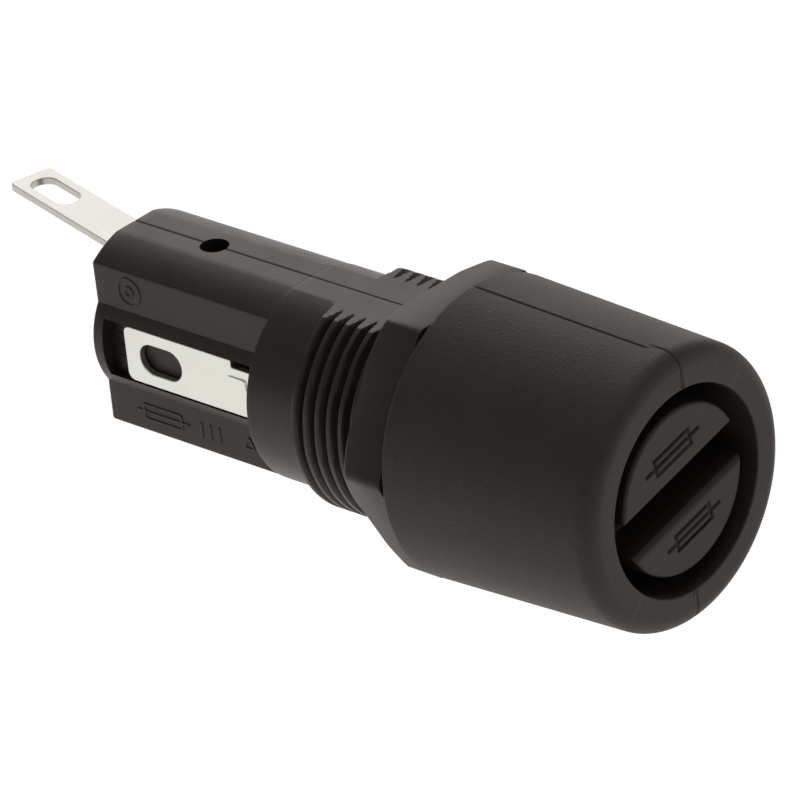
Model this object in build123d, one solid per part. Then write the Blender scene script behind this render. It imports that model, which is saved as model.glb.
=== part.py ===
from build123d import *
import math
import os

# Panel fuse holder for a 5 x 20 mm cartridge fuse. Millimetres, +Z up, the slotted face looks along -Y.
# The origin is on the holder's axis, at the rear shoulder of the nose, which bears on the panel.

# nose
NOSE_LENGTH = 12.5
NOSE_R_REAR = 7.6
NOSE_R_FRONT = 7.12
NOSE_EDGE_R = 1.7
RECESS_R = 5.26
RECESS_DEPTH = 5.0

# threaded neck, with a flat above and below
THREAD_R = 6.0
THREAD_DEPTH = 0.44
THREAD_PITCH = 0.75
THREAD_END = 7.6
NECK_FLAT = 5.26

# plain collar behind the thread
COLLAR_R = 5.45
COLLAR_END = 10.6

# rear body: a cylinder flatted on each side, with the fuse tube bulging through the flats
BODY_R = 5.42
BODY_END = 22.4
SIDE_FLAT = 3.2
TUBE_R = 3.87
BACK_WALL = 2.4
EDGE_R = 0.2
TOP_HOLE_WIDTH = 1.45
TOP_HOLE_LENGTH = 1.5
TOP_HOLE_Y = 16.95

# bores
CARRIER_BORE_R = 4.4
CARRIER_BORE_END = 9.4
FUSE_BORE_R = 2.75

# fixing nut
NUT_WALL = 0.7
NUT_THICKNESS = 2.7
NUT_CHAMFER = 0.45
NUT_FACE_MARGIN = 0.28
NUT_TURN = 1.5
NUT_GAP = 0.03

# solder tags
TAG_THICKNESS = 0.4
SIDE_TAG_FACE = 3.5
SIDE_TAG_WIDTH = 3.0
SIDE_TAG_TIP = 20.5
SIDE_TAG_NECK = 13.3
SIDE_TAG_STEP = 0.4
SIDE_TAG_SLOT_WIDTH = 1.65
SIDE_TAG_SLOT_LENGTH = 2.8
SIDE_TAG_SLOT_END = 0.95
POCKET_BACK = 0.7
FINGER_WIDTH = 2.0
FINGER_FRONT = 0.8
FINGER_ROOT = 8.4
PIMPLE_R = 0.6
PIMPLE_TOP_R = 0.25
REAR_TAG_Z = 4.05
REAR_TAG_WIDTH = 2.4
REAR_TAG_LENGTH = 9.6
REAR_TAG_SPLAY = 14.3
REAR_TAG_SLOT_WIDTH = 1.4
REAR_TAG_SLOT_LENGTH = 3.5
REAR_TAG_SLOT_END = 0.75
TAG_CORNER_R = 0.3

# carrier knob
KNOB_R = 4.3
KNOB_SETBACK = 0.24
KNOB_REAR = -1.5
SLOT_WIDTH = 2.15
SLOT_DEPTH = 2.2
SLOT_ANGLE = 12.6
SLOT_FLOOR_WALL = 1.45

# bayonet
LUG_WIDTH = 1.5
LUG_LENGTH = 1.2
LUG_R = 4.95
LUG_FRONT = -5.2
LOCK_TURN = 75.0
LUG_ANGLE = 102.6

# contact clip of the carrier
CLIP_WALL = 0.3
CLIP_REAR = 2.6
CLIP_SLITS = 4
CLIP_SLIT_WIDTH = 0.5
CLIP_SLIT_LENGTH = 4.5

# 5 x 20 mm fuse
FUSE_R = 2.6
FUSE_LENGTH = 20.0
FUSE_CAP_LENGTH = 5.0
FUSE_CAP_WALL = 0.18
FUSE_CAP_END = 0.3
GLASS_WALL = 0.45
WIRE_R = 0.09
SOLDER_R = 1.5
SOLDER_HEIGHT = 0.7

# rear contact
CUP_LENGTH = 2.4
CUP_WALL = 0.3
SPRING_WIRE_R = 0.2
SPRING_R = 1.75
SPRING_TURNS = 6

# clearances
SLIDE_CLEAR = 0.05
TURN_CLEAR = 0.1
SEAT_CLEAR = 0.03
SLOT_CLEAR = 0.05


def ring(r_out, r_in, y0, y1):
    """A tube about the Y axis from y0 to y1; solid when r_in is 0."""
    shape = Cylinder(r_out, y1 - y0)
    if r_in > 0:
        shape -= Cylinder(r_in, y1 - y0 + 2)
    return Pos(0, (y0 + y1) / 2, 0) * Rot(90, 0, 0) * shape


def block(x0, x1, y0, y1, z0, z1):
    """A box between two corners."""
    return Pos((x0 + x1) / 2, (y0 + y1) / 2, (z0 + z1) / 2) * Box(x1 - x0, y1 - y0, z1 - z0)


def turned(points):
    """The solid that a closed outline of (radius, y) points sweeps about the Y axis."""
    return revolve(make_face(Polyline(*points, close=True)), Axis.Y, 360)


def sector(r_out, y0, y1, start, sweep):
    """A wedge of a cylinder about the Y axis, from start degrees (+X towards +Z) over sweep degrees."""
    outline = make_face(Polyline((0, y0), (r_out, y0), (r_out, y1), (0, y1), close=True))
    return Rot(0, -start - sweep, 0) * revolve(outline, Axis.Y, sweep)


def obround(length, width, height):
    """An obround prism along X, standing on the XY plane's middle."""
    return extrude(SlotOverall(length, width), amount=height / 2, both=True)


def neck_outline():
    """Half-section of the neck and collar, with one V ridge for each turn of the thread."""
    root = THREAD_R - THREAD_DEPTH
    crest, flank = THREAD_PITCH * 0.22, THREAD_PITCH * 0.3
    points = [(0, -1.0), (root, -1.0)]
    turns = int((THREAD_END - THREAD_PITCH) / THREAD_PITCH)
    for i in range(turns):
        y = THREAD_END - (turns - i) * THREAD_PITCH
        top = y + flank + crest
        points += [(root, y), (THREAD_R, y + flank), (THREAD_R, top), (root, top + flank)]
    points += [(root, THREAD_END), (COLLAR_R, THREAD_END), (COLLAR_R, COLLAR_END), (0, COLLAR_END)]
    return points


knob_face = -NOSE_LENGTH + KNOB_SETBACK
clip_front = knob_face + SLOT_DEPTH + SLOT_FLOOR_WALL
fuse_front = clip_front + CLIP_WALL + SEAT_CLEAR
fuse_rear = fuse_front + FUSE_LENGTH
clip_r_in = FUSE_R + SLIDE_CLEAR
clip_r = clip_r_in + CLIP_WALL
cup_front = fuse_rear + SEAT_CLEAR
bore_end = BODY_END - BACK_WALL
seat_front = bore_end - TAG_THICKNESS
cup_r = FUSE_BORE_R - 2 * TURN_CLEAR
keyway_top = REAR_TAG_Z + TAG_THICKNESS / 2 + SLOT_CLEAR
keyway_half = REAR_TAG_WIDTH / 2 + SLOT_CLEAR
tag_inner = SIDE_TAG_FACE - TAG_THICKNESS


def make_housing():
    """The moulding: nose, flatted thread, collar and rear body, with its bores, tag slots and bayonet."""
    nose = turned([(0, -NOSE_LENGTH), (NOSE_R_FRONT, -NOSE_LENGTH), (NOSE_R_REAR, 0), (0, 0)])
    nose = fillet(nose.edges().group_by(Axis.Y)[0], NOSE_EDGE_R)
    neck = turned(neck_outline())
    neck &= block(-9, 9, -2, COLLAR_END + 1, -NECK_FLAT, NECK_FLAT)
    body = ring(BODY_R, 0, COLLAR_END - 1, BODY_END) & block(
        -SIDE_FLAT, SIDE_FLAT, COLLAR_END - 1, BODY_END, -NECK_FLAT, NECK_FLAT
    )
    body += ring(TUBE_R, 0, COLLAR_END - 1, BODY_END)
    shell = nose + neck + body

    # pocket and slot for the side tag
    reach = SIDE_TAG_WIDTH / 2 + SLOT_CLEAR
    pocket_floor = tag_inner - SLOT_CLEAR
    shell -= block(-BODY_R - 1, -pocket_floor, COLLAR_END, BODY_END - POCKET_BACK, -reach, reach)
    shell -= block(
        -SIDE_TAG_FACE - SLOT_CLEAR, -pocket_floor, CARRIER_BORE_END - 1, COLLAR_END + 1, -reach, reach
    )

    # bores, recess and the rear tag's keyway
    shell -= ring(RECESS_R, 0, -NOSE_LENGTH - 1, -NOSE_LENGTH + RECESS_DEPTH)
    shell -= ring(CARRIER_BORE_R, 0, -NOSE_LENGTH, CARRIER_BORE_END)
    shell -= ring(FUSE_BORE_R, 0, 0, bore_end)
    shell -= block(-keyway_half, keyway_half, CARRIER_BORE_END - 1, bore_end, 0, keyway_top)
    keyway_floor = keyway_top - TAG_THICKNESS - 2 * SLOT_CLEAR
    shell -= block(-keyway_half, keyway_half, bore_end - 1, BODY_END + 1, keyway_floor, keyway_top)

    # window in the top flat, down to the keyway
    window = Rot(0, 0, 90) * obround(TOP_HOLE_LENGTH, TOP_HOLE_WIDTH, NECK_FLAT)
    shell -= Pos(0, TOP_HOLE_Y, keyway_top - 0.2 + NECK_FLAT / 2) * window

    # bayonet: an entry groove and a locking groove for each lug
    groove_r = LUG_R + TURN_CLEAR
    half = math.degrees((LUG_WIDTH / 2 + TURN_CLEAR) / CARRIER_BORE_R)
    back = LUG_FRONT + LUG_LENGTH + TURN_CLEAR
    for side in (0, 180):
        start = LUG_ANGLE + side - half
        shell -= sector(groove_r, -NOSE_LENGTH + RECESS_DEPTH - 0.5, back, start, 2 * half)
        shell -= sector(groove_r, LUG_FRONT - TURN_CLEAR, back, start - LOCK_TURN, LOCK_TURN + 2 * half)
    return shell


def make_nut():
    """Hexagon nut with its rear corners rounded off by a ball. Its bore clears the thread's crests."""
    apothem = THREAD_R + NUT_WALL
    hexagon = extrude(RegularPolygon(apothem, 6, major_radius=False), amount=NUT_THICKNESS / 2, both=True)
    y0, y1 = NUT_GAP, NUT_GAP + NUT_THICKNESS
    nut = Rot(0, NUT_TURN, 0) * Pos(0, (y0 + y1) / 2, 0) * Rot(90, 0, 0) * hexagon
    # the ball meets the rear face at face_r and each corner NUT_CHAMFER further down
    corner, face_r = apothem * 2 / math.sqrt(3), apothem + NUT_FACE_MARGIN
    drop = (corner**2 - face_r**2 + NUT_CHAMFER**2) / (2 * NUT_CHAMFER)
    nut &= Pos(0, y1 - drop, 0) * Sphere(math.hypot(face_r, drop))
    return nut - ring(THREAD_R + SLIDE_CLEAR, 0, y0 - 1, y1 + 1)


def make_side_terminal():
    """Straight strip: slotted tag in the pocket, neck through the collar, contact finger beside the clip."""
    half, step_top = SIDE_TAG_WIDTH / 2, SIDE_TAG_WIDTH / 2 - SIDE_TAG_STEP
    tag = block(-SIDE_TAG_FACE, -tag_inner, SIDE_TAG_NECK, SIDE_TAG_TIP, -half, half)
    tag = fillet(tag.edges().filter_by(Axis.X).group_by(Axis.Y)[-1], TAG_CORNER_R)
    neck = block(-SIDE_TAG_FACE, -tag_inner, FINGER_ROOT, SIDE_TAG_NECK, -half, step_top)
    finger = block(-SIDE_TAG_FACE, -tag_inner, FINGER_FRONT, FINGER_ROOT, -FINGER_WIDTH / 2, FINGER_WIDTH / 2)
    strip = tag + neck + finger
    middle = SIDE_TAG_TIP - SIDE_TAG_SLOT_END - SIDE_TAG_SLOT_LENGTH / 2
    slot = Rot(0, 90, 0) * Rot(0, 0, 90) * obround(SIDE_TAG_SLOT_LENGTH, SIDE_TAG_SLOT_WIDTH, 3)
    strip -= Pos(-SIDE_TAG_FACE, middle, 0) * slot
    # pimple that bears on the clip
    height = tag_inner - clip_r - SLIDE_CLEAR
    pimple = Rot(0, 90, 0) * Cone(PIMPLE_R, PIMPLE_TOP_R, height + 0.1)
    return strip + Pos(-tag_inner + (height - 0.1) / 2, FINGER_FRONT + PIMPLE_R + 0.2, 0) * pimple


def make_rear_terminal():
    """Spring seat across the fuse tube, a strip back through the keyway, and the tag splayed to +X."""
    half = REAR_TAG_WIDTH / 2
    z0, z1 = REAR_TAG_Z - TAG_THICKNESS / 2, REAR_TAG_Z + TAG_THICKNESS / 2
    seat = ring(cup_r, 0, seat_front, bore_end) + block(-half, half, seat_front, bore_end, 0, z1)
    strip = block(-half, half, seat_front, BODY_END + 0.3, z0, z1)
    tag = Pos(0, REAR_TAG_LENGTH / 2, 0) * Box(REAR_TAG_WIDTH, REAR_TAG_LENGTH, TAG_THICKNESS)
    tag = fillet(tag.edges().filter_by(Axis.Z).group_by(Axis.Y)[-1], TAG_CORNER_R)
    middle = REAR_TAG_LENGTH - REAR_TAG_SLOT_END - REAR_TAG_SLOT_LENGTH / 2
    tag -= Pos(0, middle, 0) * Rot(0, 0, 90) * obround(REAR_TAG_SLOT_LENGTH, REAR_TAG_SLOT_WIDTH, 3)
    tag = Pos(0, BODY_END + 0.3, REAR_TAG_Z) * Rot(0, 0, -REAR_TAG_SPLAY) * tag
    elbow = Pos(0, BODY_END + 0.3, REAR_TAG_Z) * Cylinder(half, TAG_THICKNESS)
    return seat + strip + tag + elbow


def make_contact_cup():
    """Cup that the rear end of the fuse bears on, with the spring inside it."""
    cup = ring(cup_r, 0, cup_front, cup_front + CUP_LENGTH)
    return cup - ring(cup_r - CUP_WALL, 0, cup_front + CUP_WALL, cup_front + CUP_LENGTH + 1)


def make_contact_spring():
    """Round-wire coil between the cup's floor and the rear terminal's seat."""
    y0 = cup_front + CUP_WALL + SEAT_CLEAR + SPRING_WIRE_R
    y1 = seat_front - SEAT_CLEAR - SPRING_WIRE_R
    path = Helix((y1 - y0) / SPRING_TURNS, y1 - y0, SPRING_R)
    coil = sweep(Plane(path @ 0, z_dir=path % 0) * Circle(SPRING_WIRE_R), path, is_frenet=True)
    return Pos(0, y0, 0) * Rot(-90, 0, 0) * coil


def make_knob():
    """Slotted carrier head and its sleeve, with two bayonet lugs."""
    knob = fillet(ring(KNOB_R, 0, knob_face, KNOB_REAR).edges().group_by(Axis.Y)[0], EDGE_R)
    half = SLOT_WIDTH / 2
    cut = block(-KNOB_R - 1, KNOB_R + 1, knob_face - 1, knob_face + SLOT_DEPTH, -half, half)
    knob -= Rot(0, -SLOT_ANGLE, 0) * cut
    knob -= ring(clip_r + SLIDE_CLEAR, 0, clip_front, KNOB_REAR + 1)
    lug = block(clip_r + 0.5, LUG_R + 1, LUG_FRONT, LUG_FRONT + LUG_LENGTH, -LUG_WIDTH / 2, LUG_WIDTH / 2)
    lug &= ring(LUG_R, 0, LUG_FRONT, LUG_FRONT + LUG_LENGTH)
    for side in (0, 180):
        knob += Rot(0, -LUG_ANGLE - side, 0) * lug
    return knob


def make_clip():
    """Contact sleeve of the carrier, slit into fingers that grip the fuse's front cap."""
    clip = ring(clip_r, 0, clip_front, CLIP_REAR)
    clip -= ring(clip_r_in, 0, clip_front + CLIP_WALL, CLIP_REAR + 1)
    half = CLIP_SLIT_WIDTH / 2
    slit = block(0, clip_r + 1, CLIP_REAR - CLIP_SLIT_LENGTH, CLIP_REAR + 1, -half, half)
    for i in range(CLIP_SLITS):
        clip -= Rot(0, 45 + i * 360 / CLIP_SLITS, 0) * slit
    return clip


def make_fuse():
    """The six pieces of the fuse, from its front end at fuse_front."""
    glass_r = FUSE_R - FUSE_CAP_WALL - 0.02
    inner_r = glass_r - GLASS_WALL
    g0, g1 = fuse_front + FUSE_CAP_END + 0.02, fuse_rear - FUSE_CAP_END - 0.02
    pieces = {"fuse_glass_tube": ring(glass_r, inner_r, g0, g1)}
    for name, end, way in (("front", fuse_front, 1), ("rear", fuse_rear, -1)):
        y0, y1 = sorted((end, end + way * FUSE_CAP_LENGTH))
        b0, b1 = sorted((end + way * FUSE_CAP_END, end + way * (FUSE_CAP_LENGTH + 1)))
        cap = fillet(ring(FUSE_R, 0, y0, y1).edges().group_by(Axis.Y)[0 if way > 0 else -1], 0.2)
        pieces[f"fuse_{name}_cap"] = cap - ring(FUSE_R - FUSE_CAP_WALL, 0, b0, b1)
        floor, top = end + way * FUSE_CAP_END, end + way * (FUSE_CAP_END + SOLDER_HEIGHT)
        hole, waist = WIRE_R + 0.01, (SOLDER_R * 0.75, (floor + top) / 2)
        pieces[f"fuse_{name}_solder"] = turned(
            [(hole, floor), (SOLDER_R, floor), waist, (hole + 0.15, top), (hole, top)]
        )
    pieces["fuse_wire"] = ring(WIRE_R, 0, fuse_front + FUSE_CAP_END + 0.05, fuse_rear - FUSE_CAP_END - 0.05)
    return pieces


pieces = {
    "housing": make_housing(),
    "fixing_nut": make_nut(),
    "side_terminal": make_side_terminal(),
    "rear_terminal": make_rear_terminal(),
    "rear_contact_cup": make_contact_cup(),
    "contact_spring": make_contact_spring(),
    "carrier_knob": make_knob(),
    "carrier_clip": make_clip(),
    **make_fuse(),
}

os.makedirs("parts", exist_ok=True)
for name, shape in pieces.items():
    export_step(shape, f"parts/{name}.step")
    box = shape.bounding_box()
    print(name, round(shape.volume, 2), [round(v, 2) for v in (*box.min, *box.max)])
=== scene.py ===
import math
import bmesh
import bpy
import numpy as np
from mathutils import Matrix, Vector


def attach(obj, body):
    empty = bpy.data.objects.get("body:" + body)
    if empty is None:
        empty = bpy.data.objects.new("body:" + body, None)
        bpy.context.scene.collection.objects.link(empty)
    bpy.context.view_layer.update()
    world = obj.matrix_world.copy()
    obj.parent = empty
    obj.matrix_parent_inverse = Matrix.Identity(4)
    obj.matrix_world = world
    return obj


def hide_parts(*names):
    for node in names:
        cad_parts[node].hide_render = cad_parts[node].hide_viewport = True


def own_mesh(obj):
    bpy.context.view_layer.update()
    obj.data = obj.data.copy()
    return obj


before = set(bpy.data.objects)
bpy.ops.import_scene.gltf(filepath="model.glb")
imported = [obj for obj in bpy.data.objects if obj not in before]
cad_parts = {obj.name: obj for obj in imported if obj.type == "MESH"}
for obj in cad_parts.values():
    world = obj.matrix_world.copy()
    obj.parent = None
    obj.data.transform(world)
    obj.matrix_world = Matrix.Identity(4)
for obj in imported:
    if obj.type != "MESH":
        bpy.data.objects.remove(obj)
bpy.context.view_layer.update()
mm = 0.001
mergeGap, thinEdge = 2e-7, 1e-8    # metres: closer points become one, shorter edges go


# A corner outline with each corner swapped for an arc of its own radius. The arc's middle lies on the corner's
# bisector, radius / sin(half the corner) away. Returns points (n, 2), evenly stepped on the straights.
def softOutline(corners, radii, arcSteps=6, step=None, closed=True):
    pts = np.array(corners, float)
    out = []
    count = len(pts)
    for i in range(count):
        here = pts[i]
        if not closed and i in (0, count - 1):
            out.append(here[None])
            continue
        a, b = pts[i - 1] - here, pts[(i + 1) % count] - here
        la, lb = np.linalg.norm(a), np.linalg.norm(b)
        a, b = a / la, b / lb
        half = math.acos(np.clip(a @ b, -1, 1)) / 2
        if radii[i] <= 0 or half > math.pi / 2 - 1e-4:
            out.append(here[None])
            continue
        reach = min(radii[i] / math.tan(half), 0.49 * la, 0.49 * lb)
        radius = reach * math.tan(half)
        middle = here + (a + b) / np.linalg.norm(a + b) * radius / math.sin(half)
        p0, p1 = here + a * reach - middle, here + b * reach - middle
        turn = math.atan2(p0[0] * p1[1] - p0[1] * p1[0], p0 @ p1)
        t = np.linspace(0, turn, arcSteps + 1)
        c, s = np.cos(t), np.sin(t)
        out.append(middle + np.stack([p0[0] * c - p0[1] * s, p0[0] * s + p0[1] * c], 1))
    line = np.concatenate(out)
    if step is None:
        return line
    nxt = np.roll(line, -1, 0) if closed else line[1:]
    start = line if closed else line[:-1]
    pieces = []
    for p, q in zip(start, nxt):
        n = max(1, int(np.linalg.norm(q - p) / step))
        pieces.append(p + (q - p) * (np.arange(n) / n)[:, None])
    if not closed:
        pieces.append(line[-1:])
    return np.concatenate(pieces)


# Quads between neighbouring points of a grid (rows, columns, 3), wrapped round where a direction is closed.
def gridFaces(rows, cols, closeRows, closeCols):
    r = np.arange(rows if closeRows else rows - 1)[:, None]
    c = np.arange(cols if closeCols else cols - 1)[None, :]
    r1, c1 = (r + 1) % rows, (c + 1) % cols
    quads = np.stack([r * cols + c, r * cols + c1, r1 * cols + c1, r1 * cols + c], -1)
    return quads.reshape(-1, 4)


# One mesh object from several grids given in millimetres: doubles merged, faces outward, and edges that turn by
# more than `sharp` degrees kept crisp.
def surfacePiece(name, grids, body, material, sharp=32):
    verts, faces, base = [], [], 0
    for points, closeRows, closeCols in grids:
        rows, cols = points.shape[:2]
        verts.append(points.reshape(-1, 3) * mm)
        faces.append(gridFaces(rows, cols, closeRows, closeCols) + base)
        base += rows * cols
    mesh = bpy.data.meshes.new(name)
    mesh.from_pydata(np.concatenate(verts).tolist(), [], np.concatenate(faces).tolist())
    work = bmesh.new()
    work.from_mesh(mesh)
    bmesh.ops.remove_doubles(work, verts=work.verts, dist=mergeGap)
    bmesh.ops.dissolve_degenerate(work, edges=work.edges, dist=thinEdge)
    bmesh.ops.recalc_face_normals(work, faces=work.faces)
    work.to_mesh(mesh)
    work.free()
    mesh.shade_smooth()
    mesh.set_sharp_from_angle(angle=math.radians(sharp))
    mesh.materials.append(material)
    piece = bpy.data.objects.new(name, mesh)
    bpy.context.scene.collection.objects.link(piece)
    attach(piece, body)
    return piece


# Column angles about the Y axis, in degrees from +Z towards +X: evenly spaced, with more of them in the spans.
def columnAngles(count, spans=()):
    parts = [np.linspace(0, 360, count, endpoint=False)]
    for low, high, extra in spans:
        parts.append(np.linspace(low, high, extra) % 360)
    return np.unique(np.round(np.concatenate(parts), 4))


# Points (rows, columns, 3) at radius r, height y and angle a about the Y axis: x = r sin(a), z = r cos(a).
def roundY(r, y, a):
    r, y, a = np.broadcast_arrays(r, y, np.radians(a))
    return np.stack([r * np.sin(a), y, r * np.cos(a)], -1)


# A (radius, y) line turned about the Y axis. An open line starts and ends on the axis.
def turnedGrid(line, columns, closed=False):
    angles = np.linspace(0, 360, columns, endpoint=False)[None]
    return roundY(line[:, :1], line[:, 1:], angles), closed, True


# Eases from 0 to 1: three x squared less two x cubed.
def smooth(x):
    x = np.clip(x, 0, 1)
    return x * x * (3 - 2 * x)


# A shader node group with the named inputs and outputs; `build` wires it up.
def nodeGroup(name, inputs, outputs, build):
    group = bpy.data.node_groups.new(name, "ShaderNodeTree")
    for label, kind, value in inputs:
        socket = group.interface.new_socket(label, in_out="INPUT", socket_type=kind)
        if value is not None:
            socket.default_value = value
    for label, kind in outputs:
        group.interface.new_socket(label, in_out="OUTPUT", socket_type=kind)
    nodes, links = group.nodes, group.links
    build(nodes, links, nodes.new("NodeGroupInput"), nodes.new("NodeGroupOutput"))
    return group


# A node whose sockets and settings are filled in by name.
def node(nodes, kind, **settings):
    made = nodes.new(kind)
    for key, value in settings.items():
        if key in made.inputs:
            made.inputs[key].default_value = value
        else:
            setattr(made, key, value)
    return made


# A Math node on one or two numbers or links; returns its output.
def mathNode(nodes, links, operation, a, b=None, clamp=False):
    made = nodes.new("ShaderNodeMath")
    made.operation, made.use_clamp = operation, clamp
    for slotIndex, value in enumerate((a, b)):
        if value is None:
            continue
        if isinstance(value, (int, float)):
            made.inputs[slotIndex].default_value = value
        else:
            links.new(value, made.inputs[slotIndex])
    return made.outputs[0]


# Object coordinates in millimetres, for patterns that are sized as on the real thing.
def millimetres(nodes, links):
    coords = nodes.new("ShaderNodeTexCoord")
    scaled = nodes.new("ShaderNodeVectorMath")
    scaled.operation = "SCALE"
    scaled.inputs["Scale"].default_value = 1 / mm
    links.new(coords.outputs["Object"], scaled.inputs[0])
    return scaled.outputs[0]


# Moulded grain: height is fine noise plus half the distance to the nearest pit, tone and roughness a cloud.
def buildGrain(nodes, links, source, sink):
    coarse = node(nodes, "ShaderNodeTexNoise", Detail=3.0, Roughness=0.62)
    pits = node(nodes, "ShaderNodeTexVoronoi", feature="SMOOTH_F1", Smoothness=0.6)
    cloud = node(nodes, "ShaderNodeTexNoise", Scale=0.35, Detail=4.0, Roughness=0.6)
    for texture in (coarse, pits, cloud):
        links.new(source.outputs["Point"], texture.inputs["Vector"])
    links.new(source.outputs["Grains per mm"], coarse.inputs["Scale"])
    links.new(mathNode(nodes, links, "MULTIPLY", source.outputs["Grains per mm"], 0.7), pits.inputs["Scale"])
    height = mathNode(nodes, links, "MULTIPLY_ADD", pits.outputs["Distance"], 0.5)
    links.new(coarse.outputs["Fac"], height.node.inputs[2])
    fine = mathNode(nodes, links, "SUBTRACT", coarse.outputs["Fac"], 0.5)
    tone = mathNode(nodes, links, "MULTIPLY_ADD", fine, 0.9)
    links.new(cloud.outputs["Fac"], tone.node.inputs[2])
    drift = mathNode(nodes, links, "SUBTRACT", cloud.outputs["Fac"], 0.5)
    spread = mathNode(nodes, links, "MULTIPLY", drift, source.outputs["Roughness Spread"])
    rough = mathNode(nodes, links, "ADD", source.outputs["Roughness"], spread, True)
    links.new(height, sink.inputs["Height"])
    links.new(tone, sink.inputs["Tone"])
    links.new(rough, sink.inputs["Roughness"])


# Worn edges with a painted edge highlight: how far the surface's pointiness passes Start, times a patchy noise.
def buildEdges(nodes, links, source, sink):
    geometry = nodes.new("ShaderNodeNewGeometry")
    above = mathNode(nodes, links, "SUBTRACT", geometry.outputs["Pointiness"], source.outputs["Start"])
    mask = mathNode(nodes, links, "MULTIPLY", above, source.outputs["Sharpness"], True)
    noise = node(nodes, "ShaderNodeTexNoise", Scale=1.8, Detail=5.0)
    links.new(source.outputs["Point"], noise.inputs["Vector"])
    worn = mathNode(nodes, links, "SUBTRACT", noise.outputs["Fac"], 0.3)
    patchy = mathNode(nodes, links, "MULTIPLY", worn, 2.2, True)
    links.new(mathNode(nodes, links, "MULTIPLY", mask, patchy, True), sink.inputs["Mask"])


# Settled dust: faces that look up, times fine specks, times Amount.
def buildDust(nodes, links, source, sink):
    coords = nodes.new("ShaderNodeTexCoord")
    split = nodes.new("ShaderNodeSeparateXYZ")
    links.new(coords.outputs["Normal"], split.inputs[0])
    upward = mathNode(nodes, links, "MULTIPLY_ADD", split.outputs["Z"], 0.7, True)
    upward.node.inputs[2].default_value = 0.2
    specks = node(nodes, "ShaderNodeTexNoise", Scale=7.0, Detail=6.0, Roughness=0.75)
    links.new(source.outputs["Point"], specks.inputs["Vector"])
    loose = mathNode(nodes, links, "SUBTRACT", specks.outputs["Fac"], 0.45)
    loose = mathNode(nodes, links, "MULTIPLY", loose, 3.0, True)
    settled = mathNode(nodes, links, "MULTIPLY", upward, loose)
    amount = mathNode(nodes, links, "MULTIPLY", settled, source.outputs["Amount"], True)
    links.new(amount, sink.inputs["Mask"])


# Rolled strip: noise drawn out along the strip as height, and soft smudges in tone and roughness.
def buildRolled(nodes, links, source, sink):
    stretch = nodes.new("ShaderNodeVectorMath")
    stretch.operation = "MULTIPLY"
    links.new(source.outputs["Point"], stretch.inputs[0])
    links.new(source.outputs["Stretch"], stretch.inputs[1])
    lines = node(nodes, "ShaderNodeTexNoise", Scale=6.0, Detail=4.0, Roughness=0.7)
    links.new(stretch.outputs[0], lines.inputs["Vector"])
    smudge = node(nodes, "ShaderNodeTexNoise", Scale=0.55, Detail=3.0)
    links.new(source.outputs["Point"], smudge.inputs["Vector"])
    smudged = mathNode(nodes, links, "SUBTRACT", smudge.outputs["Fac"], 0.5)
    rough = mathNode(nodes, links, "MULTIPLY_ADD", smudged, 0.3)
    links.new(source.outputs["Roughness"], rough.node.inputs[2])
    lined = mathNode(nodes, links, "MULTIPLY", lines.outputs["Fac"], 0.08)
    rough = mathNode(nodes, links, "ADD", rough, lined, True)
    links.new(lines.outputs["Fac"], sink.inputs["Height"])
    links.new(smudge.outputs["Fac"], sink.inputs["Tone"])
    links.new(rough, sink.inputs["Roughness"])


number, vector = "NodeSocketFloat", "NodeSocketVector"
grainInputs = [("Point", vector, None), ("Grains per mm", number, 8.0), ("Roughness", number, 0.5),
               ("Roughness Spread", number, 0.2)]
edgeInputs = [("Point", vector, None), ("Start", number, 0.52), ("Sharpness", number, 12.0)]
dustInputs = [("Point", vector, None), ("Amount", number, 0.2)]
rolledInputs = [("Point", vector, None), ("Stretch", vector, (1, 1, 1)), ("Roughness", number, 0.3)]
maskOutput, surfaceOutputs = [("Mask", number)], [("Height", number), ("Tone", number), ("Roughness", number)]
mouldGrain = nodeGroup("mouldGrain", grainInputs, surfaceOutputs, buildGrain)
edgeShine = nodeGroup("edgeShine", edgeInputs, maskOutput, buildEdges)
settledDust = nodeGroup("settledDust", dustInputs, maskOutput, buildDust)
rolledMetal = nodeGroup("rolledMetal", rolledInputs, surfaceOutputs, buildRolled)


# A new material with its shader, and object coordinates in millimetres.
def newMaterial(name):
    material = bpy.data.materials.new(name)
    material.use_nodes = True
    nodes, links = material.node_tree.nodes, material.node_tree.links
    return material, nodes, links, nodes["Principled BSDF"], millimetres(nodes, links)


# Places one of the groups above in a material, with this finish's own values.
def placeGroup(nodes, links, group, point, **values):
    placed = nodes.new("ShaderNodeGroup")
    placed.node_tree = group
    links.new(point, placed.inputs["Point"])
    for key, value in values.items():
        placed.inputs[key].default_value = value
    return placed


# Blends two colours by a mask: the first where it is 0, the second where it is 1.
def mixColour(nodes, links, mask, first, second):
    mix = nodes.new("ShaderNodeMix")
    mix.data_type = "RGBA"
    links.new(mask, mix.inputs[0])
    for socket, value in ((mix.inputs[6], first), (mix.inputs[7], second)):
        if isinstance(value, tuple):
            socket.default_value = (*value, 1)
        else:
            links.new(value, socket)
    return mix.outputs[2]


# Turns a height into the shader's normal; strength 0 to 1, distance in metres.
def bumpFrom(nodes, links, height, strength, distance, shader):
    bump = node(nodes, "ShaderNodeBump", Strength=strength, Distance=distance)
    links.new(height, bump.inputs["Height"])
    links.new(bump.outputs[0], shader.inputs["Normal"])
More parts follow.
